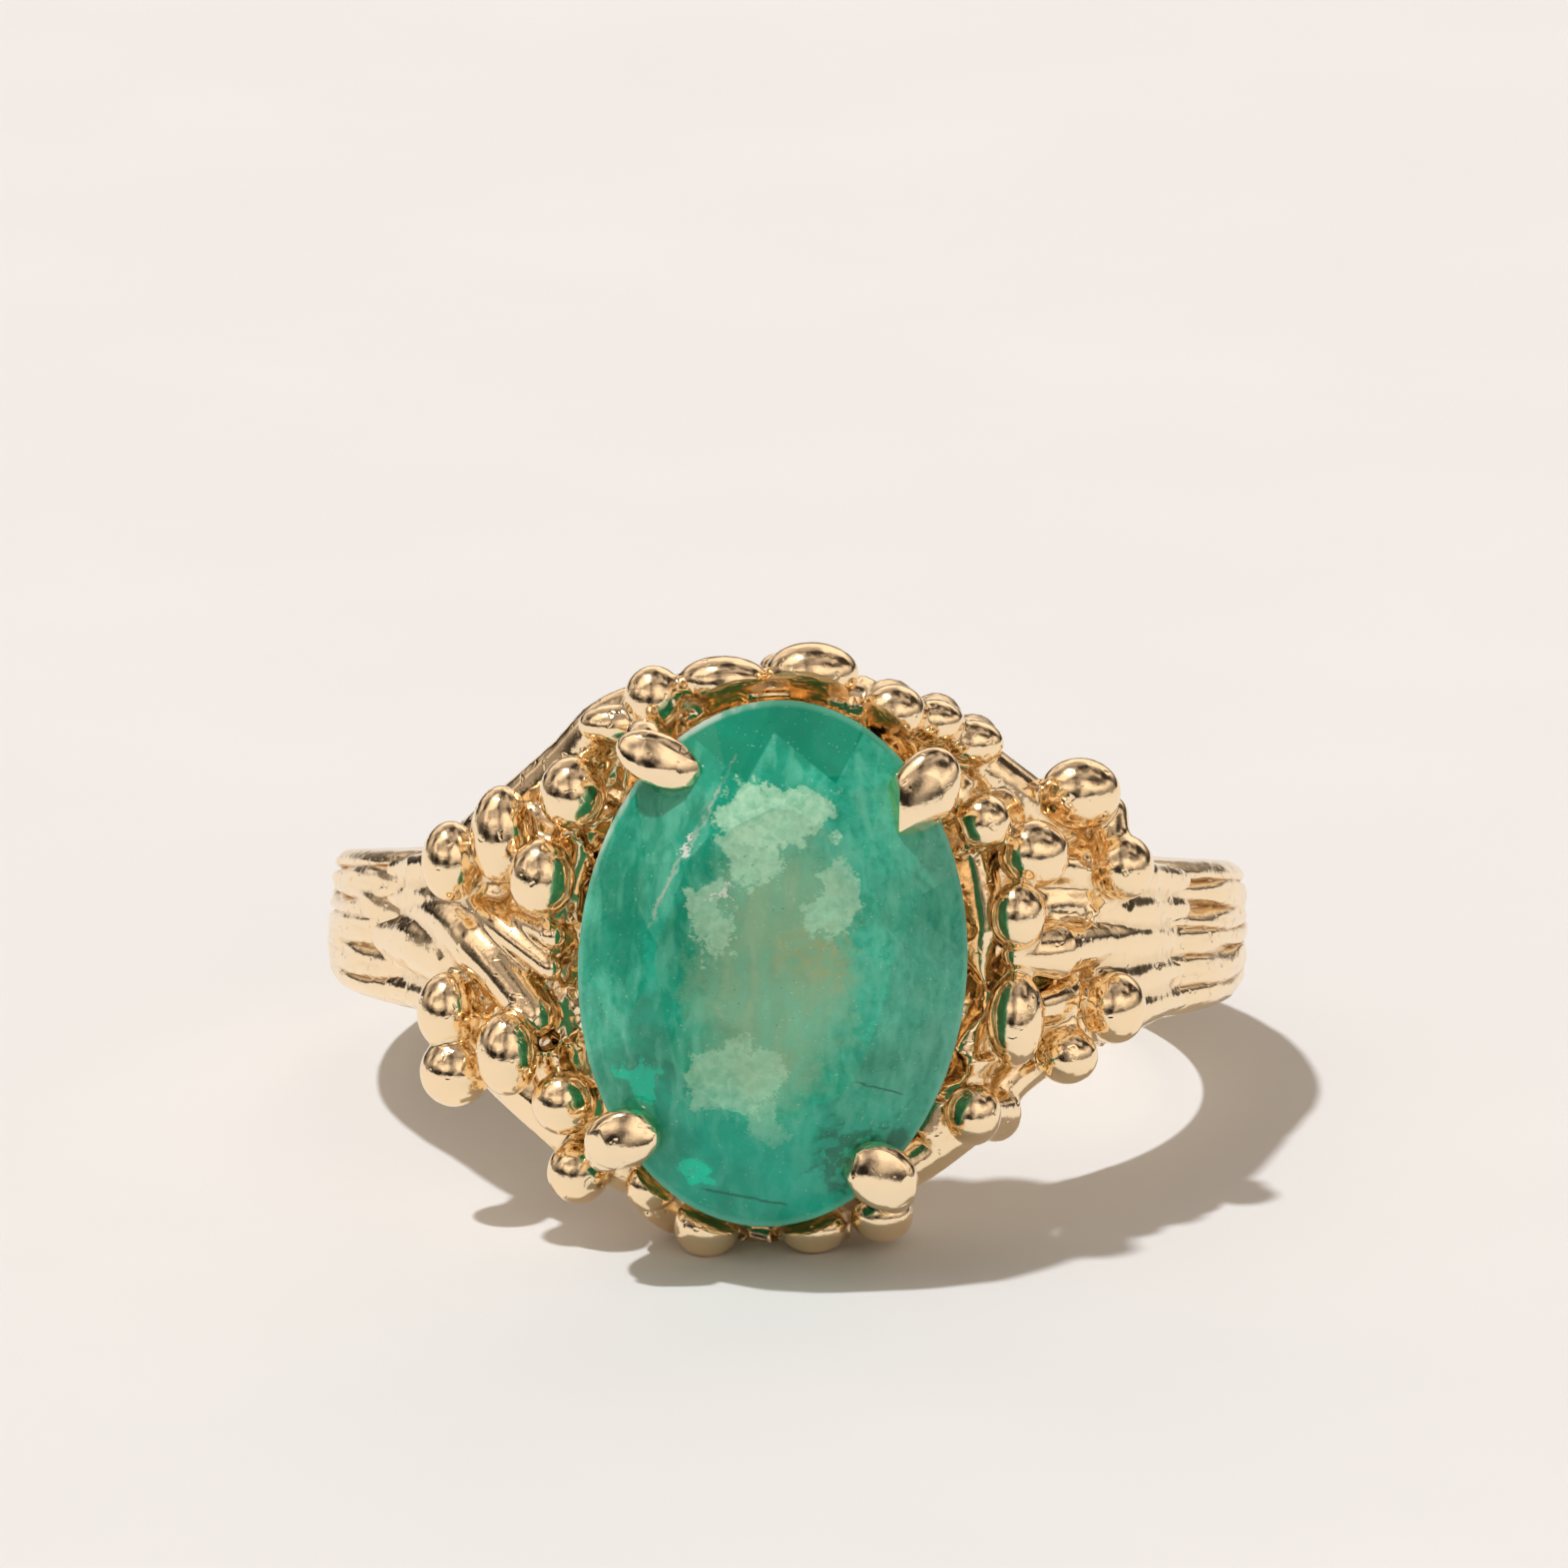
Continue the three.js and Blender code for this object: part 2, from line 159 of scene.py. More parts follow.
# %% [markdown]
# ## Balls and limbs
#
# A goldsmith builds such a head in wax from two shapes: a drop of wax, which sets as a ball, and a drawn
# wire that tapers. Here a drop is an icosphere, and a limb is a row of short cones with a ball in each
# joint. They may overlap freely, because the skin is melted together afterwards.


# %% Helpers for wax shapes
def add_ball(bm, centre, radius, shape=(1, 1, 1), detail=2):
    """A drop of wax. Shape stretches it across, out and along."""
    made = bmesh.ops.create_icosphere(bm, subdivisions=detail, radius=radius)
    matrix = Matrix.Translation(centre) @ Matrix.Diagonal((*shape, 1))
    bmesh.ops.transform(bm, matrix=matrix, verts=made["verts"])


def add_cone(bm, start, end, start_radius, end_radius):
    """A short straight stretch of wire."""
    way = end - start
    made = bmesh.ops.create_cone(
        bm, cap_ends=True, segments=16, radius1=start_radius, radius2=end_radius, depth=way.length
    )
    turn = way.to_track_quat("Z", "Y").to_matrix().to_4x4()
    bmesh.ops.transform(
        bm, matrix=Matrix.Translation((start + end) / 2) @ turn, verts=made["verts"]
    )


def smooth_path(points, steps):
    """Evenly shared points on a smooth curve through the given ones."""
    ends = [2 * points[0] - points[1], *points, 2 * points[-1] - points[-2]]
    path = []
    for number in range(steps + 1):
        place = number / steps * (len(points) - 1)
        k = min(int(place), len(points) - 2)
        t = place - k
        a, b, c, d = ends[k : k + 4]
        path.append(
            0.5 * (2 * b + (c - a) * t + (2 * a - 5 * b + 4 * c - d) * t**2
                   + (3 * b - a - 3 * c + d) * t**3)
        )
    return path


def add_limb(bm, points, radii, steps=14):
    """A bent wire whose thickness follows the given radii, spread evenly along it."""
    path = smooth_path(points, steps)
    sizes = []
    for number in range(steps + 1):
        place = number / steps * (len(radii) - 1)
        k = min(int(place), len(radii) - 2)
        sizes.append(radii[k] + (radii[k + 1] - radii[k]) * (place - k))
    for k in range(steps):
        add_cone(bm, path[k], path[k + 1], sizes[k], sizes[k + 1])
    for spot, size in zip(path, sizes):
        add_ball(bm, spot, size)


# %% [markdown]
# ## The band
#
# The band is a bar of metal bent round the finger, with a flat inside, softly rounded edges and a
# crowned outside. A circle of points is pushed into that section, and bmesh's spin sweeps it from one
# shoulder round the palm side to the other. The bar grows wider towards the shoulders, and the bark is
# worn into the outside as a few long wandering grooves, the way a graver cuts wax along the grain.

# %% Band sizes and its bark
BORE, BAND_THICK, BACK_HALF, SHOULDER_HALF, BAND_EDGE = 8.5, 1.72, 1.3, 1.88, 0.42
BAND_START, BAND_SWEEP = math.radians(40), math.radians(280)
SWEEP_RADIUS, SWEEP_STEPS, SECTION_POINTS = 10, 420, 140
CROWNING, WIDENS_FROM, WIDENS_OVER = 0.14, math.radians(60), math.radians(80)
# Each groove has a share across the band, a depth in millimetres and a width as a share.
GROOVES = (
    (-0.62, 0.12, 0.03), (-0.2, 0.26, 0.045), (0.12, 0.2, 0.03), (0.4, 0.3, 0.05), (0.7, 0.2, 0.035)
)


def grain(share, angle):
    """Bark relief in millimetres at a share across the band (-1 to 1) and an angle round it."""
    relief = 0.0
    for number, (middle, deep, wide) in enumerate(GROOVES):
        wander = 0.22 * noise.noise(Vector((angle * 2.1, number * 5.1, 0.0)))
        strength = 0.7 + 1.3 * noise.noise(Vector((angle * 3.1, number * 3.7, 8.0)))
        width = wide * (1 + 1.2 * noise.noise(Vector((angle * 6.0, number * 2.9, 3.0))))
        away = (share - middle - wander) / max(width, 0.02)
        relief -= deep * max(0.0, strength) / (1 + away * away)
    swell = 0.05 * noise.noise(Vector((angle * 3.0, share * 3.0, 5.0)))
    fine = 0.03 * noise.noise(Vector((angle * 12, share * 9, 1.0)))
    return relief + swell + fine


def section_spot(lap):
    """Where a share of one lap round the section lies: its share across and its depth through."""
    outside, wall = 0.58, 0.1
    inside = 1 - outside - 2 * wall
    if lap < outside:
        return 2 * lap / outside - 1, 1.0
    if lap < outside + wall:
        return 1.0, 1 - (lap - outside) / wall
    if lap < 1 - wall:
        return 1 - 2 * (lap - outside - wall) / inside, 0.0
    return -1.0, (lap - 1 + wall) / wall


def shape_band(bm):
    """Moves the swept ring of points into the band's real section, width and relief."""
    for vert in bm.verts:
        radial, place = math.hypot(vert.co.x, vert.co.y) - SWEEP_RADIUS, vert.co.z
        angle = math.atan2(vert.co.x, -vert.co.y)
        share, depth = section_spot((math.atan2(place, radial) / math.tau + 0.25) % 1)
        from_back = math.pi - abs(angle)
        rise = max(0.0, from_back - WIDENS_FROM) / WIDENS_OVER
        half = BACK_HALF + (SHOULDER_HALF - BACK_HALF) * min(1.0, rise) ** 1.2
        to_edge = (abs(share) * half - (half - BAND_EDGE)) / BAND_EDGE
        drop = BAND_EDGE * (1 - math.sqrt(1 - max(0.0, min(1.0, to_edge)) ** 2)) * 0.9
        radius = BORE + (BAND_THICK - drop - CROWNING * share * share) * depth
        if depth > 0.95:
            radius += grain(share, angle)
        vert.co = Vector((radius * math.sin(angle), -radius * math.cos(angle), share * half))


# %% Sweep the band
band = bmesh.new()
bmesh.ops.create_circle(band, segments=SECTION_POINTS, radius=1.0)
bmesh.ops.rotate(band, verts=band.verts, matrix=Matrix.Rotation(math.radians(90), 3, "X"))
bmesh.ops.translate(band, verts=band.verts, vec=(SWEEP_RADIUS, 0, 0))
bmesh.ops.rotate(
    band, verts=band.verts, matrix=Matrix.Rotation(BAND_START - math.radians(90), 3, "Z")
)
bmesh.ops.spin(
    band, geom=band.edges[:], axis=(0, 0, 1), cent=(0, 0, 0), angle=BAND_SWEEP, steps=SWEEP_STEPS
)
bmesh.ops.holes_fill(band, edges=band.edges, sides=0)
shape_band(band)
finish_piece("band_bark", band, ["shank"], "bark_gold")

# %% [markdown]
# ## The rock of the head
#
# The head grows out of the band's two shoulders like coral. On each side two thick branches sweep round
# the stone above and below, a bundle of strands fills the shoulder, and a rough collar rises round the
# stone. These are melted into a body first, and its skin is broken up into small leaning scales, as wax
# looks when it is built up drop by drop. Each scale is one cell of a Voronoi pattern, leaning its own way
# and standing a little higher or lower than its neighbours. The noise has a fixed seed, because Blender
# otherwise takes the clock's time for it, and each run would give another casting.


# %% Helpers for the body of the head
STONE_HALF_WIDE, STONE_HALF_LONG, STONE_TWIST = 4.15, 5.625, math.radians(-2.8)
GIRDLE_OUT, SEAT_OUT, GALLERY_OUT = 12.35, 11.3, 9.2
LEFT, RIGHT = -1, 1
SCALES_PER_MM, SCALES_LEAN, SCALES_STEP, SCALES_SEED = 0.8, 0.8, 0.14, 5
SCALES_END, SCALES_FADE = 7.4, 1.3
BORE_SKIN = BORE + 0.02
noise.seed_set(SCALES_SEED)


def round_stone(degrees, reach, out):
    """A point over the stone's outline, moved outwards by a reach."""
    turn = math.radians(degrees)
    x = (STONE_HALF_WIDE + reach) * math.cos(turn)
    y = (STONE_HALF_LONG + reach) * math.sin(turn)
    c, s = math.cos(STONE_TWIST), math.sin(STONE_TWIST)
    return at(STONE_ACROSS + x * c - y * s, STONE_ALONG + x * s + y * c, out)


def add_shoulder(bm, side):
    """Strands that carry the band's bark up under the twigs, with a solid inside."""
    for row in (-1.5, -0.75, 0.0, 0.75, 1.5):
        add_limb(
            bm,
            [at(side * 8.6, row * 0.85, 4.9), at(side * 7.9, row * 0.92, 6.3),
             at(side * 7.2, row, 7.5), at(side * 6.2, row * 1.15, 8.7),
             at(side * 4.6, row * 1.2, 9.2)],
            [0.26, 0.38, 0.5, 0.6, 0.55],
        )
        add_limb(
            bm,
            [at(side * 6.75, row * 0.92, 5.9), at(side * 5.4, row, 7.3), at(side * 3.7, row * 1.05, 8.5)],
            [0.62, 0.72, 0.45],
        )


def add_collar(bm, start, end):
    """A rough wall round one half of the stone, low at its foot and high at its crest."""
    for reach, out, thick in ((0.2, 9.4, 0.5), (0.5, 9.7, 0.4)):
        stations = [round_stone(start + (end - start) * k / 6, reach, out) for k in range(7)]
        add_limb(bm, stations, [thick, thick], 36)


def scales(place):
    """Relief in millimetres that breaks a smooth skin into flat leaning scales."""
    seeds = noise.voronoi(place * SCALES_PER_MM)[1]
    lean = noise.noise_vector(seeds[0] * 5.3) * SCALES_LEAN
    step = lean.dot(place * SCALES_PER_MM - seeds[0]) / SCALES_PER_MM
    return step + SCALES_STEP * noise.noise(seeds[0] * 3.1)


def roughen(bm):
    """Scales the skin between the twigs, and fades out towards the smooth shoulders and the band."""
    bm.normal_update()
    for vert in bm.verts:
        strength = min(1.0, max(0.08, (SCALES_END - abs(vert.co.x)) / SCALES_FADE))
        vert.co += vert.normal * scales(vert.co) * strength


def polish_bore(bm):
    """Presses anything inside the finger hole back onto its smooth wall."""
    for vert in bm.verts:
        radius = math.hypot(vert.co.x, vert.co.y)
        if radius < BORE_SKIN:
            vert.co.x *= BORE_SKIN / radius
            vert.co.y *= BORE_SKIN / radius


def cut_seat(bm):
    """Turns the stone's seat out of the fused head with a tapered oval cutter, as a setting bur does."""
    bur, corners = bmesh.new(), 120
    rings = []
    for reach, out in ((-0.6, 9.5), (0.08, 10.5), (0.24, 11.0), (0.75, 12.4)):
        spots = [round_stone(k * 360 / corners, reach, out) for k in range(corners)]
        rings.append([bur.verts.new(spot) for spot in spots])
    for low, high in zip(rings, rings[1:]):
        for k in range(corners):
            bur.faces.new((low[k], low[k - 1], high[k - 1], high[k]))
    bur.faces.new(rings[0])
    bur.faces.new(reversed(rings[-1]))
    bmesh.ops.recalc_face_normals(bur, faces=bur.faces)
    cutter = add_object("bur", bur)
    lump = add_object("head", bm)
    turning = lump.modifiers.new("seat", "BOOLEAN")
    turning.operation, turning.solver, turning.object = "DIFFERENCE", "MANIFOLD", cutter
    result = evaluated(lump)
    bpy.data.objects.remove(cutter)
    return result


# %% [markdown]
# ## Twigs
#
# A twig is a thick stalk with a drop on its end. The drops are longer along the finger than across it,
# because wax sags a little before it sets. The stalks are nearly as thick as the drops, which leaves
# narrow, deep pockets between them. In those pockets gold reflects gold and looks amber, and a darker
# brown is painted into them as shade.


# %% Helper for twigs
DRAFT_SKIN, FINE_SKIN, BODY_SKIN = 0.09, 0.067, 0.11
VOXEL = FINE_SKIN


def add_twig(bm, root, tip, ball, shape=(1, 1, 1.15), stalk=0.48):
    """A stalk with a drop of wax on its end."""
    middle = root.lerp(tip, 0.55)
    add_limb(bm, [root, middle, tip], [stalk * 1.3, stalk, min(stalk, ball * 0.8)], steps=5)
    add_ball(bm, tip, ball * 1.24, shape, detail=3)


def build_side(side, rails, ridges, twigs, collar):
    """Fuses one side of the head: body first, then scales, then twigs, then the cut seat."""
    body = bmesh.new()
    add_shoulder(body, side)
    add_collar(body, *collar)
    body = fuse(body, BODY_SKIN, 3)
    roughen(body)
    for points, radii in rails + ridges:
        add_limb(body, points, radii, 24)
    for root, tip, ball, shape in twigs:
        add_twig(body, root, tip, ball, shape)
    head = fuse(body, VOXEL, 3)
    polish_bore(head)
    return cut_seat(head)


# %% [markdown]
# ## The two sides of the head
#
# The head is built as a left and a right half, because the two sides of the real one were modelled freely
# and don't mirror each other. Every rail and ridge is a few points with a thickness at each, and every
# twig is its root, its tip, the size of its ball and the way the ball is stretched. The two halves meet
# behind the stone, at the top and at the bottom.

# %% The left side
left_rails = [
    ([at(-7.4, 1.2, 5.9), at(-6.2, 2.25, 7.8), at(-4.75, 3.75, 9.1), at(-3.75, 4.85, 9.7),
      at(-2.0, 5.3, 9.9), at(0.25, 5.4, 9.95)], [0.8, 0.82, 0.66, 0.58, 0.52, 0.48]),
    ([at(-7.4, -1.2, 5.9), at(-6.1, -2.5, 7.8), at(-5.1, -3.4, 8.9), at(-4.0, -4.35, 9.5),
      at(-2.2, -5.2, 9.75), at(-0.5, -5.4, 9.8)], [0.8, 0.85, 0.82, 0.72, 0.5, 0.48]),
]
left_ridges = [
    ([at(-6.9, 0.95, 8.2), at(-6.2, 0.3, 9.5), at(-5.1, -0.5, 10.5)], [0.34, 0.34, 0.28]),
    ([at(-8.2, 0.3, 5.6), at(-7.5, 0.35, 7.2), at(-6.6, -0.15, 9.0), at(-5.4, -1.55, 10.2)],
     [0.3, 0.5, 0.66, 0.5]),
    ([at(-8.7, -0.2, 4.6), at(-7.7, -0.25, 6.5), at(-6.8, -0.5, 8.0)], [0.45, 0.78, 0.9]),
    ([at(-5.5, 2.6, 9.0), at(-4.3, 2.2, 9.6)], [0.5, 0.4]),
    ([at(-6.2, 0.65, 8.8), at(-5.05, 0.2, 10.6)], [0.36, 0.32]),
]
left_twigs = [
    (at(-1.5, 5.5, 10.1), at(-1.45, 5.72, 11.1), 0.58, (1.4, 1, 0.8)),
    (at(-1.6, -5.35, 9.9), at(-1.66, -5.97, 10.85), 0.56, (1.05, 1, 1)),
    (at(-2.8, -5.05, 9.7), at(-2.89, -5.15, 10.8), 0.45, (1, 1, 1)),
    (at(-4.3, -4.6, 9.4), at(-4.45, -4.9, 10.2), 0.56, (1, 1, 1)),
    (at(-4.8, -3.5, 9.0), at(-4.77, -3.38, 10.7), 0.57, (1, 1, 1)),
    (at(-5.6, -1.9, 8.1), at(-5.99, -2.34, 10.5), 0.6, (0.95, 1, 1.25)),
    (at(-7.0, -0.9, 7.2), at(-7.33, -1.55, 9.0), 0.58, (0.95, 1, 1.2)),
    (at(-6.5, -2.1, 7.5), at(-7.15, -2.85, 9.0), 0.63, (1, 1, 1)),
    (at(-6.9, 1.0, 7.3), at(-7.3, 1.7, 9.1), 0.57, (0.92, 1, 1.25)),
    (at(-6.0, 1.6, 7.8), at(-6.2, 2.32, 9.8), 0.6, (0.92, 1, 1.45)),
    (at(-5.4, 1.2, 8.2), at(-5.3, 1.44, 10.8), 0.56, (1.05, 1, 1.25)),
    (at(-4.7, 3.6, 9.1), at(-4.66, 3.27, 10.8), 0.6, (1, 1, 1.1)),
    (at(-3.2, 4.9, 9.9), at(-2.95, 5.35, 11.0), 0.5, (1.05, 1, 1.15)),
    (at(-4.0, 4.5, 9.6), at(-3.75, 4.75, 10.7), 0.48, (1.4, 1, 0.8)),
]
left = build_side(LEFT, left_rails, left_ridges, left_twigs, (85, 277))
left_names = [
    n for n in frame["nodes"]
    if n.startswith(("ridge_left", "rail_upper_left", "rail_lower_left", "shoulder_left"))
    or n in ("twig_top_left", "twig_bottom_left", "twig_crown_left")
    or n.startswith(("twig_left", "twig_lower_left", "twig_upper_left"))
]
finish_piece("head_left", left, left_names, "cast_gold")

# %% The right side
right_rails = [
    ([at(7.4, 1.15, 5.9), at(6.2, 2.0, 7.8), at(4.6, 3.4, 9.1), at(3.3, 4.4, 9.6),
      at(1.9, 5.1, 9.9), at(0.15, 5.4, 9.95)], [0.8, 0.82, 0.66, 0.58, 0.52, 0.48]),
    ([at(7.4, -1.15, 5.9), at(6.1, -1.75, 7.7), at(4.9, -2.65, 8.9), at(3.7, -3.9, 9.5),
      at(1.9, -5.05, 9.75), at(-0.6, -5.45, 9.8)], [0.8, 0.75, 0.6, 0.55, 0.52, 0.5]),
]
right_ridges = [
    ([at(8.2, 0.1, 5.6), at(7.6, 0.1, 7.0), at(6.7, 0.1, 8.7), at(5.7, 0.0, 10.1),
      at(4.95, -0.05, 10.7)], [0.3, 0.36, 0.4, 0.66, 0.4]),
    ([at(6.9, -1.0, 7.3), at(5.9, -1.1, 9.3), at(5.0, -1.3, 10.4)], [0.5, 0.45, 0.4]),
    ([at(6.9, 2.9, 8.6), at(7.0, 2.2, 8.9), at(7.2, 1.75, 9.0)], [0.42, 0.4, 0.4]),
]
right_twigs = [
    (at(0.4, 5.7, 10.1), at(0.43, 5.92, 11.3), 0.66, (1.25, 1, 0.86)),
    (at(2.1, 5.2, 10.1), at(2.2, 5.1, 11.3), 0.52, (1.1, 1, 1)),
    (at(3.1, 4.9, 9.9), at(3.05, 4.9, 10.8), 0.46, (1.2, 1, 0.9)),
    (at(3.9, 4.45, 9.6), at(3.9, 4.45, 10.5), 0.46, (1.2, 1, 0.9)),
    (at(6.0, 2.6, 8.0), at(6.25, 3.35, 9.2), 0.6, (1.2, 1, 1.05)),
    (at(4.6, 2.9, 8.9), at(4.15, 2.78, 11.1), 0.5, (1, 1, 1)),
    (at(5.4, 1.8, 8.0), at(5.25, 2.08, 10.4), 0.58, (1.1, 1, 1.05)),
    (at(6.75, 1.1, 7.3), at(7.2, 1.75, 9.0), 0.56, (1, 1, 1.05)),
    (at(5.1, 0.8, 8.4), at(4.9, 0.78, 11.0), 0.5, (1, 1, 1.2)),
    (at(5.2, -1.1, 8.3), at(4.89, -1.45, 10.7), 0.58, (0.9, 1, 1.45)),
    (at(6.7, -0.9, 7.3), at(7.07, -1.29, 8.95), 0.56, (1, 1, 1.15)),
    (at(5.6, -1.7, 8.0), at(6.04, -2.31, 9.6), 0.5, (1.1, 1, 1)),
    (at(4.5, -3.6, 9.3), at(4.01, -3.5, 10.9), 0.5, (1, 1, 1.1)),
    (at(2.1, -5.15, 9.9), at(2.09, -5.7, 10.9), 0.5, (1.1, 1, 0.95)),
    (at(0.6, -5.4, 9.95), at(0.61, -6.01, 10.85), 0.48, (1.25, 1, 0.9)),
]
right = build_side(RIGHT, right_rails, right_ridges, right_twigs, (95, -83))
right_names = [
    n for n in frame["nodes"]
    if n in ("ridge_right", "rail_upper_right", "rail_lower_right", "shoulder_right", "twig_top",
             "twig_top_right", "twig_bottom", "twig_bottom_right", "twig_lower_right")
    or n.startswith(("twig_right", "twig_upper_right"))
]
finish_piece("head_right", right, right_names, "cast_gold")

# %% [markdown]
# ## The claws and the basket
#
# Each claw is a wire that stands on the lower oval rail, leans out past the stone's edge and is bent over
# it. The wire is melted into one soft skin. Its end is hammered flat and filed, so a flattened ball is cut
# by a few planes and only then welded on with a boolean, which keeps the filed flats crisp. The two oval
# rails under the stone are plain bent wires, and the basket's wall is an oval strip between them.


# %% Helpers for claws and rails
def cut(bm, point, way):
    """Files everything beyond a plane away and closes the flat."""
    geometry = bm.verts[:] + bm.edges[:] + bm.faces[:]
    done = bmesh.ops.bisect_plane(
        bm, geom=geometry, dist=1e-6, plane_co=point, plane_no=way, clear_outer=True
    )
    rim = [g for g in done["geom_cut"] if isinstance(g, bmesh.types.BMEdge)]
    if rim:
        bmesh.ops.edgeloop_fill(bm, edges=rim)


def claw(name, degrees, long, wide, files, swing):
    """One claw. Files are (turn, lean, depth) of the flats on its end, and swing turns its end sideways."""
    wire = bmesh.new()
    add_limb(
        wire,
        [round_stone(degrees, -1.25, GALLERY_OUT + 0.1), round_stone(degrees, -0.2, SEAT_OUT),
         round_stone(degrees, 0.4, GIRDLE_OUT - 0.2), round_stone(degrees, 0.42, GIRDLE_OUT + 0.4),
         round_stone(degrees, 0.1, GIRDLE_OUT + 0.75)],
        [0.5, 0.48, 0.48, 0.44, 0.34],
    )
    wire = fuse(wire, 0.05, 3)
    ball = bmesh.new()
    bmesh.ops.create_uvsphere(ball, u_segments=40, v_segments=20, radius=1.0)
    for turn, lean, depth in files:
        way = Vector((math.cos(math.radians(turn)) * math.sin(math.radians(lean)),
                      math.sin(math.radians(turn)) * math.sin(math.radians(lean)),
                      math.cos(math.radians(lean))))
        cut(ball, way * depth, way)
    centre = round_stone(degrees, -0.05, GIRDLE_OUT + 0.88)
    inward = (round_stone(degrees, -1, GIRDLE_OUT + 1.0) - centre).normalized()
    up = (at(0, 0, 1) - at(0, 0, 1).dot(inward) * inward).normalized()
    inward.rotate(Matrix.Rotation(math.radians(swing), 3, up))
    side = up.cross(inward)
    turn = Matrix((inward * long / 2, side * wide / 2, up * 0.46)).transposed().to_4x4()
    bmesh.ops.transform(ball, matrix=Matrix.Translation(centre) @ turn, verts=ball.verts)
    lump = add_object("claw", wire)
    head = add_object("claw_head", ball)
    weld = lump.modifiers.new("weld", "BOOLEAN")
    weld.operation, weld.solver, weld.object = "UNION", "MANIFOLD", head
    result = evaluated(lump)
    bpy.data.objects.remove(head)
    return finish_piece(name, result, [name.replace("_tip", "")], "bright_gold")


# %% The four claws and the two oval rails
LONG_FILES = [(0, 0, 0.8), (55, 36, 0.86), (-55, 36, 0.86), (180, 36, 0.88), (0, 50, 0.86)]
POINT_FILES = [(0, 24, 0.72), (48, 74, 0.76), (-42, 76, 0.74)]
BLUNT_FILES = [(0, 6, 0.66), (180, 44, 0.84), (20, 66, 0.9)]
claw("claw_upper_right_tip", 44, 2.1, 1.45, POINT_FILES, 16)
claw("claw_upper_left_tip", 131, 1.95, 1.15, LONG_FILES, 28)
claw("claw_lower_left_tip", 224, 1.7, 1.3, BLUNT_FILES, -24)
claw("claw_lower_right_tip", 309, 1.7, 1.4, BLUNT_FILES, 16)


OVAL_RADIUS, OVAL_STEPS = 4, 120


def oval_rail(name, reach, out, thick, tall, covers):
    """A closed oval of wire under the stone, or of strip if it is taller than it is thick."""
    wire = bmesh.new()
    bmesh.ops.create_circle(wire, segments=24, radius=thick)
    bmesh.ops.rotate(wire, verts=wire.verts, matrix=Matrix.Rotation(math.radians(90), 3, "X"))
    bmesh.ops.translate(wire, verts=wire.verts, vec=(OVAL_RADIUS, 0, 0))
    bmesh.ops.spin(
        wire, geom=wire.edges[:], axis=(0, 0, 1), cent=(0, 0, 0),
        angle=math.tau, steps=OVAL_STEPS, use_merge=True
    )
    for vert in wire.verts:
        degrees = math.degrees(math.atan2(vert.co.y, vert.co.x))
        outward = math.hypot(vert.co.x, vert.co.y) - OVAL_RADIUS
        vert.co = round_stone(degrees, reach + outward, out + vert.co.z * tall / thick)
    return finish_piece(name, wire, covers, "cast_gold")


oval_rail("gallery_oval", -1.25, GALLERY_OUT, 0.42, 0.42, ["gallery_rail"])
oval_rail("seat_oval", -1.0, SEAT_OUT, 0.32, 0.32, ["seat_rail"])
oval_rail("basket_strip", -0.38, 10.0, 0.4, 0.85, ["basket_wall"])

# %% [markdown]
# ## Cutting the stone
#
# A cutter starts from a round blank, grinds one flat at a time against a wheel, and turns the stone by
# equal steps between flats. The blank here is a short drum, and bisect_plane is the wheel. The cut is
# made round, with a radius of one, and is stretched to the oval only at the end, so every flat stays flat.

# %% Cut the stone
GIRDLE_THICK, CROWN, PAVILION, TABLE = 0.3, 1.55, 2.9, 0.6
GIRDLE_ROUNDING = 0.016


def grind(bm, turns, start, inner, inner_height, outer, outer_height):
    """Flats at equal turns, each through an inner and an outer (radius, height) on its middle line."""
    for k in range(turns):
        turn = (k + start) * math.tau / turns
        radial = Vector((math.cos(turn), math.sin(turn), 0))
        slope = Vector((outer - inner, 0, outer_height - inner_height)).normalized()
        sign = 1 if inner_height >= 0 else -1
        way = (radial * abs(slope.z) + Vector((0, 0, sign * slope.x))).normalized()
        cut(bm, radial * outer + Vector((0, 0, outer_height)), way)


stone = bmesh.new()
bmesh.ops.create_cone(stone, cap_ends=True, segments=96, radius1=1.0, radius2=1.0, depth=9.0)
top, half = CROWN, GIRDLE_THICK / 2
cut(stone, Vector((0, 0, half + top)), Vector((0, 0, 1)))
grind(stone, 8, 0, TABLE, half + top, 1.0, half)
grind(stone, 8, 0.5, TABLE * 0.96, half + top, 0.86, half + top * 0.5)
grind(stone, 16, 0.5, 0.8, half + top * 0.56, 1.0, half * 0.9)
grind(stone, 8, 0, 0.0, -half - PAVILION, 1.0, -half)
grind(stone, 16, 0.5, 0.35, -half - PAVILION * 0.7, 1.0, -half * 0.9)
rim = [
    edge for edge in stone.edges
    if min(abs(face.normal.z) for face in edge.link_faces) < 0.1
    and max(face.normal.z for face in edge.link_faces) > 0.2
]
for face in stone.faces:
    face.smooth = False
rounded = bmesh.ops.bevel(
    stone, geom=rim, offset=GIRDLE_ROUNDING, segments=3, profile=0.5, affect="EDGES",
    clamp_overlap=True
)
for face in rounded["faces"]:
    face.smooth = True
bmesh.ops.scale(stone, vec=(STONE_HALF_WIDE, STONE_HALF_LONG, 1), verts=stone.verts)
bmesh.ops.rotate(stone, verts=stone.verts, matrix=Matrix.Rotation(STONE_TWIST, 3, "Z"))
bmesh.ops.rotate(stone, verts=stone.verts, matrix=Matrix.Rotation(math.radians(90), 3, "X"))
bmesh.ops.translate(
    stone, verts=stone.verts, vec=at(STONE_ACROSS, STONE_ALONG, GIRDLE_OUT + GIRDLE_THICK / 2)
)
print("stone's flats:", len(stone.faces))
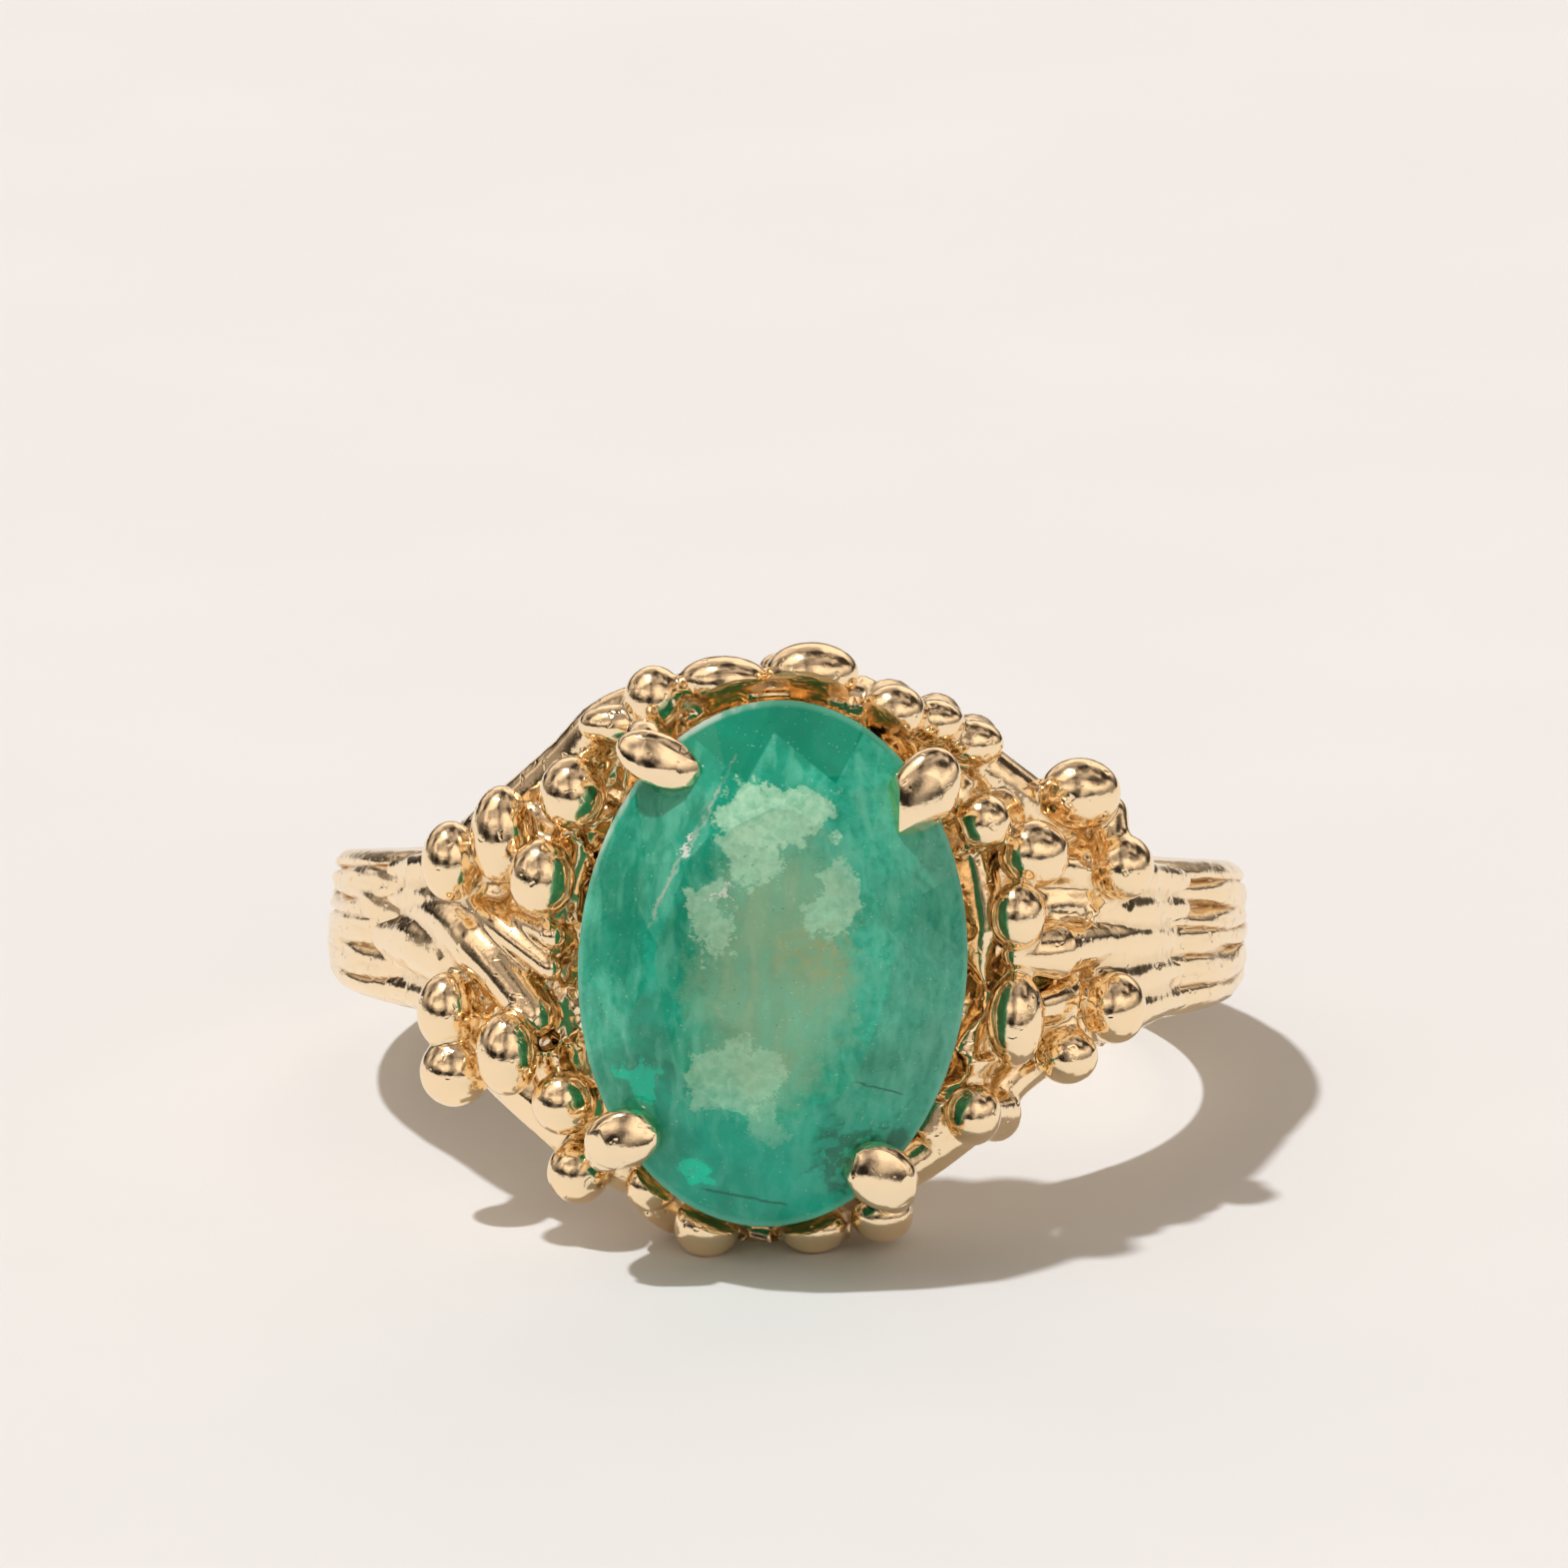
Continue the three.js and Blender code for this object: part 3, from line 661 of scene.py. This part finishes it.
finish_piece("emerald_cut", stone, ["emerald"], "emerald", smooth=False)

# %% [markdown]
# ## A small kit for shader nodes
#
# A material is a little machine of nodes. The helper below adds one node, sets its sockets from plain
# values or links them to other nodes, and returns it, so that each material reads like a short recipe.


# %% Node helper
class Recipe:
    """Builds one material's nodes."""

    def __init__(self, name):
        self.material = bpy.data.materials.new(name)
        self.material.use_nodes = True
        self.nodes = self.material.node_tree.nodes
        self.links = self.material.node_tree.links
        self.shader = self.nodes["Principled BSDF"]
        self.body = None

    def add(self, kind, sockets=None, **settings):
        """Adds a node of a kind. Sockets maps input names or numbers to values or outputs."""
        node = self.nodes.new("ShaderNode" + kind)
        for key, value in settings.items():
            setattr(node, key, value)
        for key, value in (sockets or {}).items():
            self.feed(node.inputs[key], value)
        return node

    def feed(self, socket, value):
        """Links an output to a socket, or sets the socket's plain value."""
        if isinstance(value, bpy.types.NodeSocket):
            self.links.new(value, socket)
        else:
            socket.default_value = value

    def maths(self, operation, *values):
        """A math node's result."""
        node = self.add("Math", dict(enumerate(values)), operation=operation)
        return node.outputs[0]

    def blend(self, factor, a, b):
        """A colour between two others."""
        node = self.add("Mix", data_type="RGBA")
        for key, value in (("Factor", factor), ("A", a), ("B", b)):
            socket = next(s for s in node.inputs if s.name == key and s.enabled)
            self.feed(socket, value if isinstance(value, (float, bpy.types.NodeSocket)) else (*value, 1))
        return next(s for s in node.outputs if s.enabled)

    def ramp(self, value, low, high, to_low=0.0, to_high=1.0):
        """Maps a range of values to another, and holds the ends."""
        sockets = {"Value": value, "From Min": low, "From Max": high, "To Min": to_low, "To Max": to_high}
        return self.add("MapRange", sockets, clamp=True).outputs["Result"]

    def tint(self, strength, colour):
        """Paints a colour over the body colour so far, where the strength says so."""
        self.body = self.blend(strength, self.body, colour)

    def noise(self, place, scale, detail=2.0, distortion=0.0):
        """Noise from 0 to 1."""
        sockets = {"Vector": place, "Scale": scale, "Detail": detail, "Distortion": distortion}
        return self.add("TexNoise", sockets).outputs["Fac"]


# %% [markdown]
# ## Gold
#
# Polished 14-carat gold is a mirror with a warm tint: nearly all its look is what it reflects. A real
# casting is never a perfect mirror. It carries faint hammer-soft waves, fine polishing marks and tiny
# pits, and the corners that the mop can't reach stay duller. Those corners are also painted a darker
# brown as painted shade. The waves and marks come from noise on object coordinates, and the dull,
# shaded corners from the pointiness of the mesh.


# %% Gold materials
def gold(name, colour, deep, roughness, wave, pits):
    """A gold finish. Deep is the painted shade colour of hollows, wave the strength of soft unevenness and
    pits that of the fine roughness.
    """
    recipe = Recipe(name)
    shader = recipe.shader
    shader.inputs["Metallic"].default_value = 1.0
    place = recipe.add("TexCoord").outputs["Object"]
    waves = recipe.noise(place, 900, 2.0)
    grains = recipe.noise(place, 6500, 4.0)
    holes = recipe.ramp(recipe.noise(place, 3800, 1.0), 0.66, 0.74)
    soft = recipe.add("Bump", {"Strength": wave, "Distance": 0.0002, "Height": waves})
    fine = recipe.add(
        "Bump", {"Strength": pits, "Distance": 0.00003, "Height": grains, "Normal": soft.outputs[0]}
    )
    pocked = recipe.add(
        "Bump",
        {"Strength": pits, "Distance": 0.00006, "Height": recipe.maths("SUBTRACT", 1.0, holes),
         "Normal": fine.outputs[0]},
    )
    recipe.feed(shader.inputs["Normal"], pocked.outputs[0])
    # Hollows are rougher, and they also take the deep colour as painted shade.
    open_vs_shaded_hollow = recipe.ramp(recipe.add("NewGeometry").outputs["Pointiness"], 0.40, 0.5)
    rough = recipe.ramp(grains, 0.0, 1.0, roughness * 0.6, roughness * 1.5)
    dull = recipe.maths("ADD", rough, recipe.maths("MULTIPLY", recipe.maths("SUBTRACT", 1.0, open_vs_shaded_hollow), 0.25))
    recipe.feed(shader.inputs["Roughness"], dull)
    recipe.feed(shader.inputs["Base Color"], recipe.blend(open_vs_shaded_hollow, deep, colour))
    return recipe.material


# The second colour of each finish is the painted shade in its hollows.
cast_gold = gold("cast gold", (1.0, 0.80, 0.53), (0.50, 0.31, 0.11), 0.12, 0.3, 0.22)
bark_gold = gold("bark gold", (1.0, 0.80, 0.53), (0.50, 0.28, 0.09), 0.17, 0.3, 0.35)
bright_gold = gold("bright gold", (1.0, 0.81, 0.55), (0.80, 0.55, 0.30), 0.1, 0.12, 0.15)
print("gold finishes:", [finish.name for finish in (cast_gold, bark_gold, bright_gold)])

# %% [markdown]
# ## The green stone
#
# A natural emerald is clear green glass clouded by a garden of veils and cracks. The shader is a glass
# made partly opaque by fine cloud, so that it glows from inside and still shows its back facets. Patches
# are painted in the stone's own directions: pale milky veils with torn edges above and below the middle,
# deeper green kites as painted reflections of the back facets where the upper facets lie, a pale feather,
# a dark hair crack and a mossy speckle. Small glints and a pale rim line are painted highlights.

# %% The stone's own directions and its patch and hair shapes
TEAR, TEAR_SHIFT = 2.6, 1.3
emerald = Recipe("emerald")
own = emerald.add(
    "Mapping",
    {"Vector": emerald.add("TexCoord").outputs["Object"], "Location": finger_centre[:],
     "Rotation": turn_down.to_euler()[:], "Scale": (MM, MM, MM)},
    vector_type="TEXTURE",
).outputs[0]
tear = emerald.add("TexNoise", {"Vector": own, "Scale": 1.1, "Detail": 8.0, "Roughness": 0.75})
shove = emerald.add("VectorMath", {0: tear.outputs["Color"], "Scale": TEAR}, operation="SCALE")
torn = emerald.add("VectorMath", {0: own, 1: shove.outputs[0]}, operation="ADD")
torn_split = emerald.add("SeparateXYZ", {0: torn.outputs[0]})
torn_across, torn_along = torn_split.outputs["X"], torn_split.outputs["Z"]
split = emerald.add("SeparateXYZ", {0: own})
across, along = split.outputs["X"], split.outputs["Z"]


def patch(middle_across, middle_along, half_across, half_along, edge=0.12):
    """1 inside an oval patch with torn edges, and 0 outside."""
    x = emerald.maths("SUBTRACT", torn_across, middle_across + TEAR_SHIFT)
    y = emerald.maths("SUBTRACT", torn_along, middle_along + TEAR_SHIFT)
    x = emerald.maths("DIVIDE", x, half_across)
    y = emerald.maths("DIVIDE", y, half_along)
    far = emerald.maths("ADD", emerald.maths("MULTIPLY", x, x), emerald.maths("MULTIPLY", y, y))
    return emerald.ramp(far, 1 - edge, 1 + edge, 1.0, 0.0)


def hair(start, end, width):
    """1 on a thin, slightly wavy line between two (across, along) places, and 0 elsewhere."""
    length = math.dist(start, end)
    way = ((end[0] - start[0]) / length, (end[1] - start[1]) / length)
    wavy = emerald.maths("MULTIPLY", emerald.maths("SUBTRACT", tear.outputs["Fac"], 0.5), 0.9)
    x = emerald.maths("ADD", emerald.maths("SUBTRACT", across, start[0]), wavy)
    y = emerald.maths("SUBTRACT", along, start[1])
    down = emerald.maths(
        "ADD", emerald.maths("MULTIPLY", x, way[0]), emerald.maths("MULTIPLY", y, way[1])
    )
    off = emerald.maths(
        "SUBTRACT", emerald.maths("MULTIPLY", x, way[1]), emerald.maths("MULTIPLY", y, way[0])
    )
    near = emerald.ramp(emerald.maths("ABSOLUTE", off), width * 0.3, width, 1.0, 0.0)
    begun = emerald.ramp(down, 0.0, 0.2)
    ended = emerald.ramp(down, length - 0.2, length, 1.0, 0.0)
    return emerald.maths("MULTIPLY", near, emerald.maths("MULTIPLY", begun, ended))


# %% [markdown]
# ## The stone's body
#
# The green isn't even. Slow clouds and slanting wisps run through it, lighter and darker pieces are
# painted where the cut's flats would reflect one another through the stone, and the stone grows
# milkier towards its right side.

# %% The stone's body colour
clouds = emerald.noise(own, 0.55, 5.0, 0.6)
slanted = emerald.add("Mapping", {"Vector": own, "Scale": (1.7, 1.0, 0.7), "Rotation": (0, 0.5, 0)})
wisps = emerald.noise(slanted.outputs[0], 1.6, 10.0, 0.5)
grit = emerald.noise(own, 5.0, 10.0, 0.4)
# Painted reflections: straight-edged cells stand in for the cut's flats seen through the stone.
flats = emerald.add("TexVoronoi", {"Vector": own, "Scale": 0.62})
facet_reflection_tone = emerald.add("SeparateXYZ", {0: flats.outputs["Color"]}).outputs["X"]
emerald.body = emerald.blend(emerald.ramp(clouds, 0.38, 0.62), (0.0, 0.36, 0.22), (0.01, 0.53, 0.36))
emerald.tint(emerald.ramp(across, -4.3, -2.4, 0.45, 0.0), (0.17, 0.60, 0.42))
emerald.tint(emerald.ramp(across, -1.5, 3.6, 0.0, 0.75), (0.15, 0.70, 0.52))
emerald.tint(emerald.ramp(facet_reflection_tone, 0.0, 1.0, 0.0, 0.4), (0.0, 0.31, 0.18))
emerald.tint(emerald.ramp(grit, 0.4, 0.65, 0.0, 0.5), (0.0, 0.33, 0.20))
emerald.tint(emerald.ramp(wisps, 0.45, 0.72, 0.0, 0.75), (0.18, 0.72, 0.52))

# %% [markdown]
# ## What shows inside the stone
#
# A natural stone of this size holds veils, feathers and grit. The pale veils float over its middle, two
# dark kites are painted under the upper edge as reflections of the back of the cut, and a broken feather
# runs down from the upper left. Each is one coat of paint over the body, in the order from deep to near.

# %% The stone's pale middle, painted kite reflections and low edge
SAGE, PALE, KITE_REFLECTION_GREEN = (0.36, 0.60, 0.38), (0.55, 0.93, 0.66), (0.0, 0.31, 0.185)
streaks = emerald.ramp(wisps, 0.38, 0.62, 0.85, 0.5)
emerald.tint(emerald.maths("MULTIPLY", patch(-0.3, -0.3, 1.6, 2.8, 0.55), streaks), SAGE)
warm = emerald.ramp(grit, 0.42, 0.58, 0.1, 0.45)
emerald.tint(emerald.maths("MULTIPLY", patch(0.6, 0.1, 0.8, 0.7, 0.6), warm), (0.50, 0.52, 0.24))
for spot, strength in (
    (patch(-0.45, 3.0, 1.2, 0.65), 0.95), (patch(-0.8, 2.1, 0.75, 0.75), 0.85),
    (patch(-1.7, 0.8, 0.4, 0.8), 0.75), (patch(1.0, 1.3, 0.5, 0.75), 0.7),
    (patch(-1.1, -2.6, 1.0, 0.8), 0.6), (patch(-0.45, -3.5, 0.4, 0.5), 0.45),
):
    veil = emerald.ramp(grit, 0.35, 0.62, strength, 0.55 * strength)
    emerald.tint(emerald.maths("MULTIPLY", spot, veil), PALE)
# Painted reflection: dark kites under the upper edge stand in for the back facets seen through the stone.
lean = emerald.maths("MULTIPLY", along, 0.35)
TOOTH_WIDE, TOOTH_SLOPE, TOOTH_SHIFT, TEETH_ALONG = 0.95, 1.1, 10.1, 4.7
skewed = emerald.maths("ADD", emerald.maths("ADD", across, lean), TOOTH_SHIFT)
teeth = emerald.maths("MULTIPLY", emerald.maths("PINGPONG", skewed, TOOTH_WIDE), TOOTH_SLOPE)
above_teeth = emerald.maths("SUBTRACT", along, emerald.maths("SUBTRACT", TEETH_ALONG, teeth))
painted_kite_reflections = emerald.ramp(above_teeth, 0.0, 0.06)
emerald.tint(emerald.maths("MULTIPLY", painted_kite_reflections, emerald.ramp(across, 1.7, 2.6, 0.9, 0.4)), KITE_REFLECTION_GREEN)
low_edge = emerald.maths("ADD", along, emerald.maths("MULTIPLY", clouds, 2.0))
emerald.tint(emerald.ramp(low_edge, -3.0, -1.6, 0.6, 0.0), (0.0, 0.46, 0.32))

# %% The stone's painted glints, feathers, cracks and specks
PAINTED_GLINT_GREEN, FEATHER = (0.0, 0.80, 0.52), (0.66, 0.68, 0.60)
DARK, PAINTED_HIGHLIGHT_WHITE = (0.01, 0.13, 0.075), (1.0, 1.0, 0.96)
# Painted highlights: two small bright green glints.
for spot in (patch(-3.2, -2.6, 0.35, 0.4, 0.4), patch(-1.9, -4.6, 0.3, 0.22, 0.4)):
    emerald.tint(emerald.maths("MULTIPLY", spot, 0.9), PAINTED_GLINT_GREEN)
broken = emerald.ramp(wisps, 0.42, 0.56, 0.1, 0.65)
for strand in (hair((-1.15, 4.3), (-2.1, 2.3), 0.05), hair((-1.75, 3.3), (-2.95, 0.5), 0.06)):
    emerald.tint(emerald.maths("MULTIPLY", strand, broken), FEATHER)
for crack in (hair((1.4, -2.6), (2.5, -2.95), 0.035), hair((-1.9, -5.0), (0.1, -5.35), 0.04)):
    emerald.tint(emerald.maths("MULTIPLY", crack, 0.8), DARK)
# Painted highlights: two small white glints.
for painted_glint in (patch(-1.33, 1.2, 0.1, 0.1), patch(-2.3, 2.35, 0.12, 0.1)):
    emerald.tint(emerald.maths("MULTIPLY", painted_glint, 0.8), PAINTED_HIGHLIGHT_WHITE)
moss = emerald.ramp(emerald.noise(own, 2.6, 10.0, 0.4), 0.47, 0.50)
mossy = emerald.maths("MULTIPLY", moss, patch(1.75, -4.4, 1.2, 0.9, 0.3))
emerald.tint(emerald.maths("MULTIPLY", mossy, 0.6), DARK)
specks = emerald.ramp(emerald.noise(own, 14.0, 3.0), 0.68, 0.72)
emerald.tint(emerald.maths("MULTIPLY", specks, 0.4), (0.7, 0.9, 0.8))
motes = emerald.ramp(emerald.noise(own, 11.0, 2.0), 0.29, 0.25)
emerald.tint(emerald.maths("MULTIPLY", motes, 0.5), DARK)

# %% [markdown]
# ## The stone's painted rim highlight
#
# A thin pale line is painted along the rim as a highlight, brightest and whitest at the upper left. The
# distance from the middle, measured in the oval's own half sizes, is one all along the rim.

# %% The stone's painted rim highlight and its shader
rim_across = emerald.maths("SUBTRACT", across, STONE_ACROSS)
rim_along = emerald.maths("SUBTRACT", along, STONE_ALONG)
twist_cos, twist_sin = math.cos(STONE_TWIST), math.sin(STONE_TWIST)
straight_across = emerald.maths(
    "ADD", emerald.maths("MULTIPLY", rim_across, twist_cos / STONE_HALF_WIDE),
    emerald.maths("MULTIPLY", rim_along, twist_sin / STONE_HALF_WIDE),
)
straight_along = emerald.maths(
    "SUBTRACT", emerald.maths("MULTIPLY", rim_along, twist_cos / STONE_HALF_LONG),
    emerald.maths("MULTIPLY", rim_across, twist_sin / STONE_HALF_LONG),
)
far_out = emerald.maths(
    "ADD", emerald.maths("MULTIPLY", straight_across, straight_across),
    emerald.maths("MULTIPLY", straight_along, straight_along),
)
# Painted highlight: a pale line round the rim, with white glints at its upper left.
rim_highlight_line = emerald.ramp(far_out, 0.945, 0.975)
emerald.tint(emerald.maths("MULTIPLY", rim_highlight_line, 0.35), (0.30, 0.74, 0.56))
upper_left = emerald.ramp(emerald.maths("SUBTRACT", along, across), 5.6, 6.4, 0.0, 0.75)
painted_rim_glint = emerald.maths("MULTIPLY", upper_left, broken)
emerald.tint(emerald.maths("MULTIPLY", rim_highlight_line, painted_rim_glint), PAINTED_HIGHLIGHT_WHITE)
emerald.feed(emerald.shader.inputs["Base Color"], emerald.body)
clear = emerald.ramp(clouds, 0.35, 0.65, 0.36, 0.16)
emerald.feed(emerald.shader.inputs["Transmission Weight"], clear)
emerald.shader.inputs["Specular IOR Level"].default_value = 0.22
emerald.shader.inputs["IOR"].default_value = 1.58
emerald.shader.inputs["Roughness"].default_value = 0.05
stone_look = emerald.material
print("stone's nodes:", len(emerald.nodes))

# %% [markdown]
# ## Handing out the finishes
#
# Each piece names its slot when it is made, and the slot decides the finish here, so one table holds
# every choice of material.

# %% Give every piece its finish
looks = {"emerald": stone_look, "bark_gold": bark_gold, "bright_gold": bright_gold}
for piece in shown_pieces():
    piece.data.materials.clear()
    piece.data.materials.append(looks.get(piece.get("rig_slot"), cast_gold))

# %% [markdown]
# ## The table top
#
# The ring lies on a pale matt sheet. A very faint mottle keeps the sheet from looking like plain paint.

# %% Floor
floor_mesh = bmesh.new()
bmesh.ops.create_grid(floor_mesh, x_segments=1, y_segments=1, size=1.5)
floor = add_object("floor", floor_mesh)
pale = Recipe("pale table")
mottle = pale.noise(pale.add("TexCoord").outputs["Object"], 90, 4.0)
sheet = pale.blend(pale.ramp(mottle, 0.3, 0.7), (0.728, 0.738, 0.748), (0.745, 0.755, 0.765))
pale.feed(pale.shader.inputs["Base Color"], sheet)
pale.shader.inputs["Roughness"].default_value = 0.9
floor.data.materials.append(pale.material)
print("table top:", pale.material.name)

# %% [markdown]
# ## One lamp and a dim room
#
# One small strong lamp stands almost overhead and a little to the left, and throws a short crisp shadow
# to the right. The room beyond is uneven and grows darker towards the table. Polished gold shows little
# but what it reflects, so it is those dark parts of the room that draw the grey and black accents in it.

# %% The lamp
lamp_data = bpy.data.lights.new("small lamp", "SUN")
lamp_data.energy = 2.2
lamp_data.angle = math.radians(2.8)
lamp = bpy.data.objects.new("small lamp", lamp_data)
lamp.rotation_euler = Vector((-0.33, 0.02, 0.94)).to_track_quat("Z", "Y").to_euler()
bpy.context.scene.collection.objects.link(lamp)
print("lamp's strength:", round(lamp_data.energy, 2))

# %% The room
world = bpy.data.worlds.new("room")
bpy.context.scene.world = world
world.use_nodes = True
room, wire = world.node_tree.nodes, world.node_tree.links
sight = room.new("ShaderNodeTexCoord")
walls = room.new("ShaderNodeTexNoise")
walls.inputs["Scale"].default_value = 1.7
walls.inputs["Detail"].default_value = 1.0
wire.new(sight.outputs["Generated"], walls.inputs["Vector"])
tones = room.new("ShaderNodeValToRGB")
dark_end, bright_end = tones.color_ramp.elements
dark_end.position, dark_end.color = 0.36, (0.04, 0.03, 0.025, 1)
bright_end.position, bright_end.color = 0.62, (1.15, 0.98, 0.82, 1)
middle_tone = tones.color_ramp.elements.new(0.47)
middle_tone.color = (0.54, 0.45, 0.38, 1)
wire.new(walls.outputs["Fac"], tones.inputs["Fac"])
height = room.new("ShaderNodeSeparateXYZ")
wire.new(sight.outputs["Generated"], height.inputs[0])
rising = room.new("ShaderNodeMapRange")
rising.inputs["From Min"].default_value, rising.inputs["From Max"].default_value = 0.12, 0.42
rising.inputs["To Min"].default_value, rising.inputs["To Max"].default_value = 0.26, 1.08
wire.new(height.outputs["Z"], rising.inputs["Value"])
wire.new(rising.outputs["Result"], room["Background"].inputs["Strength"])
wire.new(tones.outputs["Color"], room["Background"].inputs["Color"])
bpy.context.scene.view_settings.view_transform = "Standard"
print("room:", world.name)

# %% [markdown]
# ## The camera
#
# A long lens stands a little above the level of the ring, far enough away that near and far parts keep
# nearly the same size, as in a jeweller's catalogue. The aim is the middle of the finger hole, moved up
# to leave room for the shadow below.

# %% Camera
LENS, SENSOR, FRAME_WIDTH = 308.0, 36.0, 0.0349
CAMERA_RISE, CAMERA_ROLL = math.radians(17.0), math.radians(-0.5)
AIM_UP, AIM_LEFT = 3.05 * MM, 0.06 * MM
back = Vector((0, -math.cos(CAMERA_RISE), math.sin(CAMERA_RISE)))
view_up = Vector((0, math.sin(CAMERA_RISE), math.cos(CAMERA_RISE)))
aim = finger_centre + view_up * AIM_UP - Vector((1, 0, 0)) * AIM_LEFT
camera_data = bpy.data.cameras.new("camera")
camera_data.lens, camera_data.sensor_width = LENS, SENSOR
camera = bpy.data.objects.new("camera", camera_data)
camera.location = aim + back * FRAME_WIDTH * LENS / SENSOR
camera.rotation_mode = "QUATERNION"
camera.rotation_quaternion = (
    (-back).to_track_quat("-Z", "Y") @ Matrix.Rotation(CAMERA_ROLL, 3, "Z").to_quaternion()
)
camera_data.clip_start, camera_data.clip_end = 0.01, 10
bpy.context.scene.collection.objects.link(camera)
bpy.context.scene.camera = camera
print("camera's distance, m:", round((camera.location - aim).length, 3))
